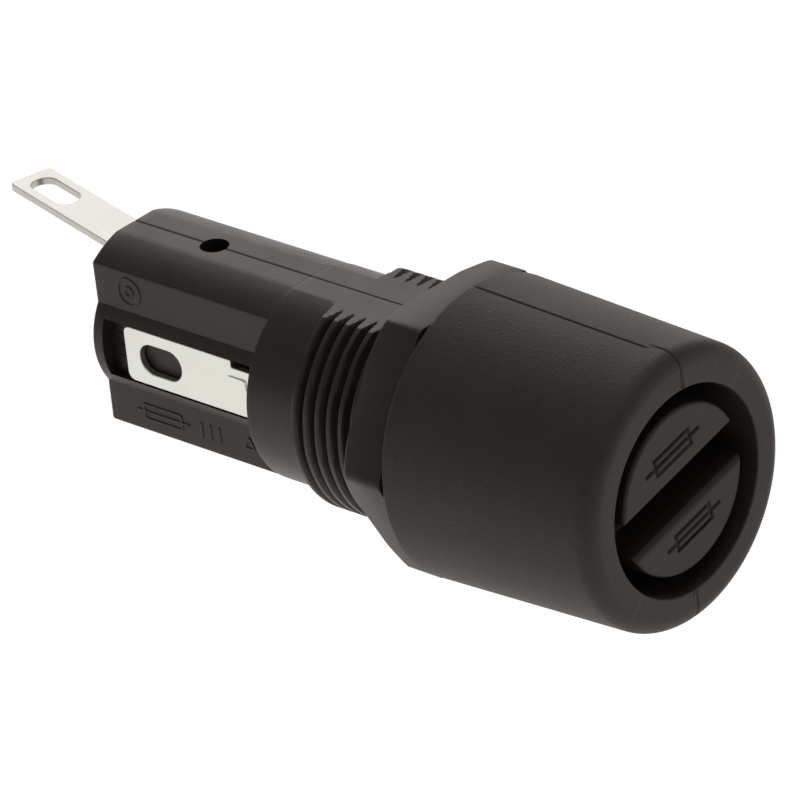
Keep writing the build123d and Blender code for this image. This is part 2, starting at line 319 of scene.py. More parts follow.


# Black moulded plastic: grain for bump and roughness, cloudy tone, lighter edges (wear and a painted edge
# highlight) and a little dust.
def plasticMaterial(name, v):
    material, nodes, links, shader, point = newMaterial(name)
    grainValues = {"Grains per mm": v["grain"], "Roughness": v["roughness"], "Roughness Spread": v["spread"]}
    grain = placeGroup(nodes, links, mouldGrain, point, **grainValues)
    edges = placeGroup(nodes, links, edgeShine, point, Start=v["edgeStart"])
    dust = placeGroup(nodes, links, settledDust, point, Amount=v["dust"])
    tone = mixColour(nodes, links, grain.outputs["Tone"], v["dark"], v["light"])
    # Edges lightened by the edge mask: worn plastic plus a painted edge highlight.
    edgeWearAndShine = mixColour(nodes, links, edges.outputs["Mask"], tone, edgeWearAndShineTone)
    dusty = mixColour(nodes, links, dust.outputs["Mask"], edgeWearAndShine, dustTone)
    links.new(dusty, shader.inputs["Base Color"])
    links.new(grain.outputs["Roughness"], shader.inputs["Roughness"])
    shader.inputs["Specular IOR Level"].default_value = v["specular"]
    shader.inputs["Specular Tint"].default_value = (*warmSheen, 1)
    bumpFrom(nodes, links, grain.outputs["Height"], v["bump"], v["depth"] * mm, shader)
    return material


# Plated or rolled metal: fine lines along the strip, smudges in roughness and tone.
def metalMaterial(name, v):
    material, nodes, links, shader, point = newMaterial(name)
    rolled = placeGroup(nodes, links, rolledMetal, point, Stretch=v["stretch"], Roughness=v["roughness"])
    edges = placeGroup(nodes, links, edgeShine, point, Start=metalFinish["edgeStart"])
    tone = mixColour(nodes, links, rolled.outputs["Tone"], v["dark"], v["light"])
    # Edges take the lighter edge colour: partly wear, partly a painted edge highlight.
    bright = mixColour(nodes, links, edges.outputs["Mask"], tone, v["edge"])
    links.new(bright, shader.inputs["Base Color"])
    links.new(rolled.outputs["Roughness"], shader.inputs["Roughness"])
    shader.inputs["Metallic"].default_value = 1.0
    bumpFrom(nodes, links, rolled.outputs["Height"], v["bump"], metalFinish["depth"] * mm, shader)
    return material


# Clear glass with faint streaks in its roughness.
def glassMaterial(name, v):
    material, nodes, links, shader, point = newMaterial(name)
    rolled = placeGroup(nodes, links, rolledMetal, point, Stretch=v["stretch"], Roughness=0.0)
    tone = mixColour(nodes, links, rolled.outputs["Tone"], v["dark"], v["light"])
    links.new(tone, shader.inputs["Base Color"])
    streaks = mathNode(nodes, links, "MULTIPLY", rolled.outputs["Roughness"], v["streaks"], True)
    links.new(streaks, shader.inputs["Roughness"])
    shader.inputs["Transmission Weight"].default_value = 1.0
    shader.inputs["IOR"].default_value = v["index"]
    return material


# The edge tone is the lighter colour laid on edges: wear plus a painted edge highlight.
# Plastics: grain is in grains per millimetre, depth is its bump in millimetres.
warmSheen, edgeWearAndShineTone, dustTone = (1.0, 0.84, 0.74), (0.03, 0.025, 0.022), (0.34, 0.32, 0.3)
plastics = {
    "noseMoulding": dict(dark=(0.009, 0.0068, 0.0052), light=(0.0215, 0.0166, 0.0135), grain=9.0, bump=0.85,
                         depth=0.03, roughness=0.56, spread=0.12, specular=0.4, edgeStart=0.72, dust=0.02),
    "bodyMoulding": dict(dark=(0.009, 0.0068, 0.0054), light=(0.0155, 0.012, 0.0098), grain=3.2, bump=0.14,
                         depth=0.03, roughness=0.4, spread=0.18, specular=0.37, edgeStart=0.58, dust=0.02),
    "nutMoulding": dict(dark=(0.009, 0.0068, 0.0054), light=(0.0165, 0.013, 0.0105), grain=4.0, bump=0.2,
                        depth=0.03, roughness=0.44, spread=0.14, specular=0.38, edgeStart=0.57, dust=0.02),
    "carrierMoulding": dict(dark=(0.0105, 0.0082, 0.0068), light=(0.0175, 0.014, 0.0115), grain=7.0, bump=0.35,
                            depth=0.025, roughness=0.5, spread=0.1, specular=0.29, edgeStart=0.58, dust=0.01),
}

# Metals: stretch below 1 draws the lines out in that direction.
metalFinish = dict(edgeStart=0.62, depth=0.02)
# Each metal's edge colour is lighter: worn edges plus a painted edge highlight.
metals = {
    "tinnedStrip": dict(dark=(0.66, 0.67, 0.6), light=(0.84, 0.845, 0.79), edge=(0.9, 0.9, 0.86),
                        roughness=0.3, stretch=(5.0, 0.25, 5.0), bump=0.2),
    # A darker copy of the tinned strip for the rear tag: painted shade.
    "shadedTin": dict(dark=(0.45, 0.43, 0.405), light=(0.62, 0.6, 0.565), edge=(0.66, 0.64, 0.6),
                    roughness=0.34, stretch=(5.0, 0.25, 5.0), bump=0.25),
    "nickelContact": dict(dark=(0.62, 0.6, 0.54), light=(0.76, 0.74, 0.68), edge=(0.86, 0.84, 0.8),
                          roughness=0.24, stretch=(3.0, 0.4, 3.0), bump=0.15),
    "springSteel": dict(dark=(0.34, 0.34, 0.35), light=(0.5, 0.5, 0.51), edge=(0.62, 0.62, 0.62),
                        roughness=0.3, stretch=(2.0, 2.0, 2.0), bump=0.2),
    "fuseCapMetal": dict(dark=(0.66, 0.65, 0.62), light=(0.8, 0.79, 0.76), edge=(0.88, 0.87, 0.85),
                         roughness=0.18, stretch=(1.0, 4.0, 1.0), bump=0.08),
    "dullSolder": dict(dark=(0.4, 0.4, 0.41), light=(0.58, 0.58, 0.58), edge=(0.66, 0.66, 0.66),
                       roughness=0.45, stretch=(1.0, 1.0, 1.0), bump=0.5),
    "bareWire": dict(dark=(0.6, 0.56, 0.5), light=(0.75, 0.7, 0.62), edge=(0.8, 0.76, 0.7),
                     roughness=0.25, stretch=(6.0, 0.5, 6.0), bump=0.1),
}
clearGlass = dict(dark=(0.9, 0.94, 0.93), light=(0.98, 0.99, 0.98), stretch=(2.0, 0.3, 2.0), streaks=0.25,
                  index=1.5)

look = {name: plasticMaterial(name, v) for name, v in plastics.items()}
look.update({name: metalMaterial(name, v) for name, v in metals.items()})
look["fuseGlass"] = glassMaterial("fuseGlass", clearGlass)
print("materials made:", len(look))


# Nose. The parting line steps aside by jog where it turns onto the front, and a thin flash stands beside it on
# the ring's lip.
nose = dict(length=12.5, rearR=7.6, frontR=7.12, rearEdge=0.16, frontEdge=1.7, recessR=5.26, recessDepth=5.0,
            floorEdge=0.06, boreR=4.4, rimEdge=0.09, columns=300, step=0.3, seamWidth=0.055, seamDepth=0.08,
            jog=0.34, flash=0.07, flashAt=0.16, flashWidth=0.07, lipAt=0.12, lipWidth=0.09,
            entryAngle=-12.6, entryHalf=11.3, lockSweep=75.0, grooveR=5.05, grooveFront=-5.3, grooveBack=-3.9)


# Outer skin and recess: an outline turned about Y, each point pushed along the outline's own normal by the
# seam's groove, a bell curve across the parting line.
# Bore: radius against height, out to grooveR inside the two entry windows and the two locking grooves.
def noseGrid(v):
    front, floor = -v["length"], -v["length"] + v["recessDepth"]
    corners = [(v["boreR"], 0), (v["rearR"], 0), (v["frontR"], front), (v["recessR"], front),
               (v["recessR"], floor), (v["boreR"], floor)]
    radii = [0, v["rearEdge"], v["frontEdge"], v["rimEdge"], v["floorEdge"], 0]
    line = softOutline(corners, radii, 14, v["step"], closed=False)
    angles = columnAngles(v["columns"], [(-4, 4, 41), (176, 184, 41)])
    tangent = np.gradient(line, axis=0)
    normal = np.stack([-tangent[:, 1], tangent[:, 0]], 1) / np.linalg.norm(tangent, axis=1)[:, None]
    r, y = line[:, :1], line[:, 1:]
    outside = smooth((r - v["recessR"] - 0.02) / 0.05) * (y < -0.3)    # 1 on the skin, 0 in the recess
    turnIn = smooth((-y - v["length"] + v["frontEdge"]) / 0.25)        # 0 on the cone, 1 on the front edge
    shift = {0: v["jog"] * turnIn, 180: 0 * turnIn}
    push = np.zeros((len(line), len(angles)))
    for middle, jog in shift.items():
        across = np.radians((angles[None] - middle + 180) % 360 - 180) * r - jog
        push -= v["seamDepth"] * np.exp(-(across / v["seamWidth"]) ** 2) * outside
        lip = np.exp(-((r - v["recessR"] - v["lipAt"]) / v["lipWidth"]) ** 2) * (y < front + 0.1)
        push += v["flash"] * lip * np.exp(-((across - v["flashAt"]) / v["flashWidth"]) ** 2)
    grid = roundY(r + normal[:, :1] * push, y + normal[:, 1:] * push, angles[None])

    near, far, lean = v["grooveFront"], v["grooveBack"], 0.01    # lean: rise of the grooves' end walls
    y = np.array([floor, near - lean, near, far - lean, far, -1.0, 0.0])[:, None]
    entry = np.abs((angles - v["entryAngle"] + 90) % 180 - 90) < v["entryHalf"]
    swept = (angles - v["entryAngle"] + v["entryHalf"]) % 180 < v["lockSweep"] + 2 * v["entryHalf"]
    before, between = y < far - lean / 2, (y > near - lean / 2) & (y < far - lean / 2)
    hollow = (entry[None] & before) | (swept[None] & between)
    bore = roundY(np.where(hollow, v["grooveR"], v["boreR"]), y, angles[None])
    return np.concatenate([grid[:-1], bore]), True, True


noseShell = surfacePiece("noseShell", [noseGrid(nose)], "holder", look["noseMoulding"])
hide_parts("housing")
print("nose made")


# Threaded neck and collar.
neck = dict(threadR=6.0, depth=0.44, pitch=0.75, threadEnd=7.6, ridgeWidth=0.72, rowsPerTurn=11, columns=264,
            flat=5.26, collarR=5.45, end=10.6, boreR=4.4, boreEnd=9.4, fuseBoreR=2.75,
            seamWidth=0.05, seamDepth=0.04, edge=0.03)


# Radius at height y and angle a: a rounded ridge that climbs one pitch a turn and fades out at both ends, held
# below the two flats by flat / cos(a).
def neckGrid(v):
    thread = np.arange(0, v["threadEnd"] + 1e-6, v["pitch"] / v["rowsPerTurn"])
    collar = np.linspace(v["threadEnd"] + 0.02, v["end"] - v["edge"], 12)
    corner = np.linspace(0, math.pi / 2, 5)[1:]
    y = np.concatenate([thread, collar, v["end"] - v["edge"] + v["edge"] * np.sin(corner)])[:, None]
    inset = np.concatenate([np.zeros(len(thread) + len(collar)), v["edge"] * (1 - np.cos(corner))])[:, None]
    flatEdges = [(m + s * 14 - 1, m + s * 14 + 18 * s, 40) for m in (0, 180) for s in (-1, 1)]
    angles = columnAngles(v["columns"], flatEdges + [(-1.6, 1.6, 17), (178.4, 181.6, 17)])
    a = angles[None]
    turn = (y - v["threadEnd"]) / v["pitch"] - a / 360
    ridge = smooth((0.5 - np.abs(turn % 1 - 0.5)) * 2 / v["ridgeWidth"])
    fade = smooth((v["threadEnd"] - y) / 0.18) * smooth((y - 0.15) / 0.3)
    r = np.where(y <= v["threadEnd"], v["threadR"] - v["depth"] + v["depth"] * ridge * fade, v["collarR"])
    level = v["flat"] / np.maximum(np.abs(np.cos(np.radians(a))), 1e-6)
    flatted = r > level
    across = np.radians((a + 90) % 180 - 90) * v["flat"]
    seam = v["seamDepth"] * np.exp(-(across / v["seamWidth"]) ** 2)
    r = np.where(flatted, level - seam, r) - inset
    inner = np.array([(v["fuseBoreR"], v["end"]), (v["fuseBoreR"], v["boreEnd"]), (v["boreR"], v["boreEnd"]),
                      (v["boreR"], 0)])
    inside = roundY(inner[:, :1], inner[:, 1:], a)
    return np.concatenate([roundY(r, y, a), inside]), True, True


surfacePiece("threadedNeck", [neckGrid(neck)], "holder", look["bodyMoulding"], sharp=40)
print("neck made")


# Rear body, with the side tag's pocket and the window in its top flat.
body = dict(front=10.6, end=22.4, roundR=5.42, flat=5.26, sideFlat=3.2, tubeR=3.87, boreR=2.75, backWall=2.4,
            pocketFloor=3.05, pocketHalf=1.55, pocketBack=21.7, edge=0.16, soften=0.14,
            seamWidth=0.06, seamDepth=0.045,
            windowY=16.95, windowLength=1.5, windowWidth=1.45, windowFloor=4.1)


# Half of the cross-section, from the top middle round the tag's side to the bottom middle, as (x, z) points.
# Without the pocket its floor follows the tube, so both halves have the same number of points.
def bodyHalf(v, pocket):
    topX = math.sqrt(v["roundR"] ** 2 - v["flat"] ** 2)
    sideZ = math.sqrt(v["roundR"] ** 2 - v["sideFlat"] ** 2)
    tubeZ = math.sqrt(v["tubeR"] ** 2 - v["sideFlat"] ** 2)
    mouthX = math.sqrt(v["tubeR"] ** 2 - v["pocketHalf"] ** 2)

    def arc(radius, x0, z0, x1, z1, n):
        t = np.linspace(math.atan2(z0, x0), math.atan2(z1, x1), n)
        return np.stack([radius * np.cos(t), radius * np.sin(t)], 1)

    def straight(x0, z0, x1, z1, n):
        return np.linspace((x0, z0), (x1, z1), n)

    seam = np.linspace(0, 0.3, 9)
    groove = v["seamDepth"] * np.exp(-(seam / v["seamWidth"]) ** 2)
    top = np.stack([seam, v["flat"] - groove], 1)
    flatTop = straight(0.34, v["flat"], topX, v["flat"], 5)
    shoulder = arc(v["roundR"], topX, v["flat"], v["sideFlat"], sideZ, 14)[1:-1]
    bend = [tuple(shoulder[-1]), (v["sideFlat"], sideZ), (v["sideFlat"], sideZ - 0.5)]
    corner = softOutline(bend, [0, v["soften"], 0], 5, closed=False)[1:-1]
    side = straight(v["sideFlat"], sideZ - 0.4, v["sideFlat"], tubeZ, 8)
    tube = arc(v["tubeR"], v["sideFlat"], tubeZ, mouthX, v["pocketHalf"], 7)[1:]
    z = np.linspace(v["pocketHalf"], -v["pocketHalf"], 21)
    floorX = np.where(pocket, v["pocketFloor"], np.sqrt(v["tubeR"] ** 2 - z ** 2))
    upper = np.concatenate([top, flatTop, shoulder, corner, side, tube])
    return np.concatenate([upper, np.stack([floorX, z], 1), upper[::-1] * (1, -1)])


# The cross-section carried along Y, with the pocket open from the collar to pocketBack, then drawn in over the
# rear face.
def bodyGrids(v):
    def section(pocket):
        left, right = bodyHalf(v, pocket), bodyHalf(v, False)
        return np.concatenate([left * (-1, 1), right[::-1][1:-1]])

    opened, plain = section(True), section(False)
    reach = np.linalg.norm(plain, axis=1, keepdims=True)
    turn = np.maximum.accumulate(np.unwrap(np.arctan2(-plain[:, 0], plain[:, 1])))
    circle = np.stack([-np.sin(turn), np.cos(turn)], 1) * v["boreR"]
    rows = [(circle, v["front"]), *((opened, y) for y in np.linspace(v["front"], v["pocketBack"], 12)),
            (plain, v["pocketBack"]), (plain, v["end"] - v["edge"])]
    rows += [(plain * (1 - v["edge"] * (1 - math.cos(t)) / reach), v["end"] - v["edge"] * (1 - math.sin(t)))
             for t in np.linspace(0, math.pi / 2, 5)[1:]]
    rows += [(plain * s, v["end"]) for s in (0.8, 0.5, 0.2, 0)]
    floor = v["end"] - v["backWall"]
    hollow = [(circle, v["front"]), *((circle, y) for y in np.linspace(v["front"] + 1, floor, 8)),
              (circle * 0.5, floor), (circle * 0, floor)]

    def stack(parts):
        return np.stack([np.stack([p[:, 0], np.full(len(p), y), p[:, 1]], 1) for p, y in parts])

    return [(stack(rows), False, True), (stack(hollow), False, True)]


# Takes the cutter's closed shape out of a piece, then removes the cutter.
def cutOut(piece, cutter):
    modifier = piece.modifiers.new("cut", "BOOLEAN")
    modifier.operation, modifier.object, modifier.solver = "DIFFERENCE", cutter, "EXACT"
    evaluated = piece.evaluated_get(bpy.context.evaluated_depsgraph_get())
    cut = bpy.data.meshes.new_from_object(evaluated)
    piece.modifiers.clear()
    piece.data = cut
    bpy.data.objects.remove(cutter)
    cut.shade_smooth()
    cut.set_sharp_from_angle(angle=math.radians(32))


# Closed prism: an outline (n, 2) carried straight from low to high, drawn in to its middle at each end.
def prismGrid(outline, low, high, place):
    middle = outline.mean(0)
    rows = [(middle + (outline - middle) * s, h) for s, h in ((0, low), (1, low), (1, high), (0, high))]
    return np.stack([place(p[:, 0], p[:, 1], np.full(len(p), h)) for p, h in rows]), False, True


# A slot's outline: two half circles, length - width apart.
def obround(length, width, steps=12):
    half, r = (length - width) / 2, width / 2
    t = np.linspace(-math.pi / 2, math.pi / 2, steps)
    right = np.stack([half + r * np.cos(t), r * np.sin(t)], 1)
    return np.concatenate([right, -right])


rearBody = surfacePiece("rearBody", bodyGrids(body), "holder", look["bodyMoulding"])
windowOutline = obround(body["windowLength"], body["windowWidth"])
windowPrism = prismGrid(windowOutline, body["windowFloor"], body["flat"] + 1,
                        lambda u, w, h: np.stack([w, u + body["windowY"], h], 1))
windowCutter = surfacePiece("windowCutter", [windowPrism], "holder", look["bodyMoulding"])
cutOut(rearBody, windowCutter)
print("rear body made")


# Fixing nut.
nut = dict(apothem=6.7, y0=0.13, thickness=2.6, turn=1.5, chamfer=0.45, faceMargin=0.28, boreR=6.05, edge=0.09,
           softness=70, columns=360)


# Hexagon radius: six planes blended by a high power mean, so the corners are slightly round. The rear face is a
# plane met by a ball, so each flat's rear edge is bowed.
def nutGrid(v):
    corners = [30 + 60 * k + v["turn"] for k in range(6)]
    angles = columnAngles(v["columns"], [(c - 4, c + 4, 17) for c in corners])
    facing = np.cos(np.radians(angles[None] - v["turn"] - 60 * np.arange(6)[:, None]))
    hexagon = ((np.maximum(facing, 0) / v["apothem"]) ** v["softness"]).sum(0) ** (-1 / v["softness"])
    y1, faceR = v["y0"] + v["thickness"], v["apothem"] + v["faceMargin"]
    cornerR = v["apothem"] * 2 / math.sqrt(3)
    drop = (cornerR ** 2 - faceR ** 2 + v["chamfer"] ** 2) / (2 * v["chamfer"])
    ball = math.hypot(faceR, drop)

    def top(r):
        return np.minimum(y1, y1 - drop + np.sqrt(np.maximum(ball ** 2 - r ** 2, 0)))

    one, e = np.ones(len(angles)), v["edge"]
    rim = np.minimum(hexagon - e, faceR)
    rows = [(one * v["boreR"], one * (v["y0"] + e)), (one * (v["boreR"] + e), one * v["y0"]),
            (hexagon - e, one * v["y0"]), (hexagon - 0.3 * e, one * (v["y0"] + 0.3 * e)),
            (hexagon, one * (v["y0"] + e)), (hexagon, top(hexagon) - e),
            (hexagon - 0.25 * e, top(hexagon) - 0.35 * e), (hexagon - e, top(hexagon - e))]
    for t in np.linspace(0.2, 1, 5):
        inward = hexagon - e + (rim - hexagon + e) * t
        rows.append((inward, top(inward)))
    rows += [(one * (v["boreR"] + 2 * e), one * y1), (one * v["boreR"], one * (y1 - 2 * e))]
    return np.stack([roundY(r, y, angles) for r, y in rows]), True, True


fixingNut = surfacePiece("fixingNut", [nutGrid(nut)], "nut", look["nutMoulding"], sharp=28)
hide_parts("fixing_nut")
print("nut made")


# Carrier knob.
knob = dict(radius=4.3, face=-12.26, headRear=-8.61, rear=-1.5, rimEdge=0.2, step=0.05, columns=250, boreR=3.0,
            slotAngle=12.6, slotLow=-1.075, slotHigh=1.075, slotDepth=2.2, draft=0.03, slotEdge=0.07,
            slotSoftEdge=0.34, slotFoot=0.14, sleeveEdge=0.12,
            lugR=4.95, lugFront=-5.2, lugBack=-4.0, lugAngle=-12.6, lugHalf=9.4,
            markHalf=(1.3, 0.42), markLine=1.95, markAt=(2.3, -2.3), markStroke=0.085, markDepth=0.14)


# 1 inside the strokes of the fuse symbol, a long rectangle with a line through it, and 0 away from them.
def fuseSymbol(u, w, v):
    halfU, halfW = v["markHalf"]
    frameGap = np.abs(np.maximum(np.abs(u) - halfU, np.abs(w) - halfW))
    lineGap = np.maximum(np.abs(w), np.abs(u) - v["markLine"])
    return 1 - smooth((np.minimum(frameGap, lineGap) - v["markStroke"] * 0.6) / (v["markStroke"] * 0.8))


# Each row is a chord of the disc, parallel to the slot: over the face, down one side, across the back and up
# the other. Depth below the face is the slot's outline, or the rounded rim and the engraved symbols, whichever
# is deeper.
def knobHeadGrid(v):
    r, depth = v["radius"], v["slotDepth"]
    pole = r * np.sin(np.linspace(math.asin(0.8), math.pi / 2, 16))[1:]
    corners = [(-0.8 * r, 0), (v["slotLow"], 0), (v["slotLow"] + v["draft"], depth),
               (v["slotHigh"] - v["draft"], depth), (v["slotHigh"], 0), (0.8 * r, 0)]
    radii = [0, v["slotSoftEdge"], v["slotFoot"], v["slotFoot"], v["slotEdge"], 0]
    line = softOutline(corners, radii, 6, v["step"], closed=False)
    rows = np.concatenate([np.stack([-pole[::-1], pole * 0], 1), line, np.stack([pole, pole * 0], 1)])
    across, slot = rows[:, :1], rows[:, 1:]
    chord = np.sqrt(np.maximum(r ** 2 - across ** 2, 0))
    along = chord * np.sin(np.linspace(-math.pi / 2, math.pi / 2, v["columns"]))[None]
    fromRim = np.clip(r - np.hypot(along, across), 0, v["rimEdge"])
    rim = v["rimEdge"] - np.sqrt(np.maximum(v["rimEdge"] ** 2 - (v["rimEdge"] - fromRim) ** 2, 0))
    marks = sum(fuseSymbol(along, across - at, v) for at in v["markAt"]) * v["markDepth"]
    face = v["face"] + np.maximum(slot, rim + marks)
    down = np.linspace(0, 1, 7)[None, 1:]
    wall = face[:, -1:] + (v["headRear"] - face[:, -1:]) * down
    back = np.linspace(1, -1, 12)[None, 1:]
    x = np.concatenate([along, np.repeat(chord, 6, 1), chord * back, np.repeat(-chord, 5, 1)], 1)
    y = np.concatenate([face, wall, np.full((len(rows), 11), v["headRear"]), wall[:, -2::-1]], 1)
    t = math.radians(v["slotAngle"])
    c, s, z = math.cos(t), math.sin(t), np.broadcast_to(across, x.shape)
    return np.stack([x * c - z * s, y, x * s + z * c], -1), False, True


# Sleeve behind the head: rings of constant radius, pushed out to lugR where the angle lies inside a lug.
def knobSleeveGrid(v):
    edges = [v["lugAngle"] + m + s * v["lugHalf"] for m in (0, 180) for s in (-1, 1)]
    angles = columnAngles(120, [(e - 0.4, e + 0.4, 2) for e in edges] + [(e - 3, e + 3, 7) for e in edges])
    lug = np.abs((angles - v["lugAngle"] + 90) % 180 - 90) < v["lugHalf"]
    e, r, out, bore = v["sleeveEdge"], v["radius"], v["lugR"], v["boreR"]
    front, back, rear = v["lugFront"], v["lugBack"], v["rear"]
    rows = [(bore, v["headRear"], 0), (r, v["headRear"], 0), (r, front, 0),
            (out - e, front, 1), (out, front + e, 1), (out, back - e, 1), (out - e, back, 1),
            (r, back, 0), (r, rear - e, 0), (r - e, rear, 0), (bore + e, rear, 0), (bore, rear - e, 0)]
    rings = [roundY(np.where(lug, ring, r) if isLug else ring * np.ones(len(angles)), y, angles)
             for ring, y, isLug in rows]
    return np.stack(rings), True, True


carrierKnob = surfacePiece("carrierKnob", [knobHeadGrid(knob), knobSleeveGrid(knob)], "carrier_head",
                           look["carrierMoulding"], sharp=38)
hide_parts("carrier_knob")
print("carrier knob made")


# Solder tags.
sideTag = dict(face=-3.5, thickness=0.4, edge=0.045, slotAt=18.15, slotLength=2.8, slotWidth=1.65,
               outline=[(20.5, 1.5), (13.3, 1.5), (13.3, 1.1), (8.4, 1.1), (8.4, 1.0), (0.8, 1.0), (0.8, -1.0),
                        (8.4, -1.0), (8.4, -1.5), (20.5, -1.5)],
               corners=[0.45, 0.05, 0.05, 0.05, 0.05, 0.3, 0.3, 0.05, 0.05, 0.45],
               dimpleAt=(13.0, 0.3), dimpleSize=(1.2, 0.66), dimpleHeight=0.07, dimpleLift=-0.7)
rearTag = dict(level=4.05, thickness=0.4, edge=0.045, bendAt=22.7, splay=14.3, halfWidth=1.2, length=9.6,
               tip=0.3, slotAt=7.1, slotLength=3.5, slotWidth=1.4, lap=0.07,
               seatR=2.55, seatFront=19.6, seatBack=20.0)


# A flat plate with a slot: its outline and the slot's outline, joined by a band that runs over the top, the
# outer edge, the underside and the slot's edge, with softened corners. A ray from the slot's middle pairs the
# two outlines.
def slottedPlate(outline, slotLength, slotWidth, thickness, edge):
    angle = np.arctan2(outline[:, 1], outline[:, 0])
    half, r = (slotLength - slotWidth) / 2, slotWidth / 2
    c, s = np.abs(np.cos(angle)), np.abs(np.sin(angle))
    onSide = r / np.maximum(s, 1e-9)
    onEnd = half * c + np.sqrt(np.maximum(r ** 2 - (half * s) ** 2, 0))
    reach = np.where(onSide * c <= half, onSide, onEnd)
    hole = np.stack([np.cos(angle), np.sin(angle)], 1) * reach[:, None]

    def outward(line):
        step = np.roll(line, -1, 0) - np.roll(line, 1, 0)
        length = np.maximum(np.linalg.norm(step, axis=1), 1e-9)[:, None]
        side = np.stack([step[:, 1], -step[:, 0]], 1) / length
        return side * np.sign((side * line).sum()) * edge

    out, into, t = outward(outline), outward(hole), thickness / 2
    rows = [(outline - out, t), (outline - 0.3 * out, t - 0.3 * edge), (outline, t - edge),
            (outline, edge - t), (outline - 0.3 * out, 0.3 * edge - t), (outline - out, -t),
            (hole + into, -t), (hole + 0.3 * into, 0.3 * edge - t), (hole, edge - t),
            (hole, t - edge), (hole + 0.3 * into, t - 0.3 * edge), (hole + into, t)]
    return [p for p, _ in rows], [h for _, h in rows]


# A shallow raised pad: a soft-cornered square outline that steps up and closes to a point on top.
def padGrid(at, size, height, place):
    outline = softOutline([(-1, -1), (1, -1), (1, 1), (-1, 1)], [0.25] * 4, 4) * np.array(size) / 2
    rows = [(0, -0.1), (1, -0.1), (1, 0.5 * height), (0.9, height), (0.6, height), (0, height)]
    across, along = outline[:, 0], outline[:, 1]
    rings = [place(across * s + at[0], along * s + at[1], np.full(len(outline), h)) for s, h in rows]
    return np.stack(rings), False, True


# The side tag's plate stands in the plane x = face + thickness / 2. Its lanced tab is a pad whose height
# changes in proportion to the distance from its middle.
def sideTagGrids(v):
    middle = v["face"] + v["thickness"] / 2
    outline = softOutline(v["outline"], v["corners"], 6, 0.12) - (v["slotAt"], 0)
    flat, level = slottedPlate(outline, v["slotLength"], v["slotWidth"], v["thickness"], v["edge"])
    plate = np.stack([np.stack([np.full(len(p), middle - h), p[:, 0] + v["slotAt"], p[:, 1]], 1)
                      for p, h in zip(flat, level)])

    def onFace(u, w, h):
        return np.stack([v["face"] - h * (1 + v["dimpleLift"] * (u - v["dimpleAt"][0])), u, w], 1)

    return [(plate, True, True), padGrid(v["dimpleAt"], v["dimpleSize"], v["dimpleHeight"], onFace)]


# The rear tag's plate, splayed in its own plane from a mitre at half the splay. Inside the housing are its
# strip, sheared to that mitre, and the spring's seat, a disc with a lobe as wide as the strip.
def rearTagGrids(v):
    t = math.radians(v["splay"])
    turnBack = np.array([[math.cos(t), -math.sin(t)], [math.sin(t), math.cos(t)]])
    half, near = v["halfWidth"], v["halfWidth"] * math.tan(t / 2)
    corners = [(half, near), (half, v["length"]), (-half, v["length"]), (-half, -near)]
    outline = softOutline(corners, [0, v["tip"], v["tip"], 0], 6, 0.12) - (0, v["slotAt"])
    outline = outline[:, ::-1]
    flat, level = slottedPlate(outline, v["slotLength"], v["slotWidth"], v["thickness"], v["edge"])
    local = [p[:, ::-1] + (0, v["slotAt"]) for p in flat]
    placed = [p @ turnBack + (0, v["bendAt"]) for p in local]
    plate = np.stack([np.stack([p[:, 0], p[:, 1], np.full(len(p), v["level"] + h)], 1)
                      for p, h in zip(placed, level)])
    low, high = v["level"] - v["thickness"] / 2, v["level"] + v["thickness"] / 2
    front, run = v["seatFront"], v["bendAt"] + v["lap"] - v["seatFront"]
    section = np.array([(-half, low), (half, low), (half, high - 0.003), (-half, high - 0.003)])
    strip = prismGrid(section, front, front + run,
                      lambda u, w, h: np.stack([u, h - u / half * near * (h - front) / run, w], 1))
    a = np.linspace(0, 2 * math.pi, 144, endpoint=False)
    lobe = np.minimum(half / np.maximum(np.abs(np.sin(a)), 1e-6), high / np.maximum(np.cos(a), 1e-6))
    reach = np.where(np.cos(a) > 0, np.maximum(v["seatR"], lobe), v["seatR"])
    disc = np.stack([reach * np.sin(a), reach * np.cos(a)], 1)
    seat = prismGrid(disc, front, v["seatBack"], lambda u, w, h: np.stack([u, h, w], 1))
    return [(plate, True, True), strip, seat]


sideTerminal = surfacePiece("sideTerminal", sideTagGrids(sideTag), "holder",
                            look["tinnedStrip"], sharp=18)
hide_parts("side_terminal")
# The rear tag wears the darker copy of the tinned strip, painted shade.
rearTerminal = surfacePiece("rearTerminal", rearTagGrids(rearTag), "holder",
                            look["shadedTin"], sharp=18)
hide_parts("rear_terminal")
print("solder tags made")


# Raised marks on the rear body: places are (y, z) on its side flat, and pocketAt is a span of y.
marks = dict(x=-3.2, height=0.055, stroke=0.17, ringAt=(20.05, 3.3), ringR=0.72, innerRing=0.36,
             symbolAt=(18.75, -3.3), symbolHalf=(1.25, 0.4), symbolLine=1.75,
             bars=(16.15, 15.55, 14.95), barHalf=0.42, arrowAt=(12.95, -3.25), arrowR=0.42, corner=0.06,
             pocketX=-3.05, pocketBars=(0.62, 0.0, -0.62), pocketAt=(20.75, 21.35))


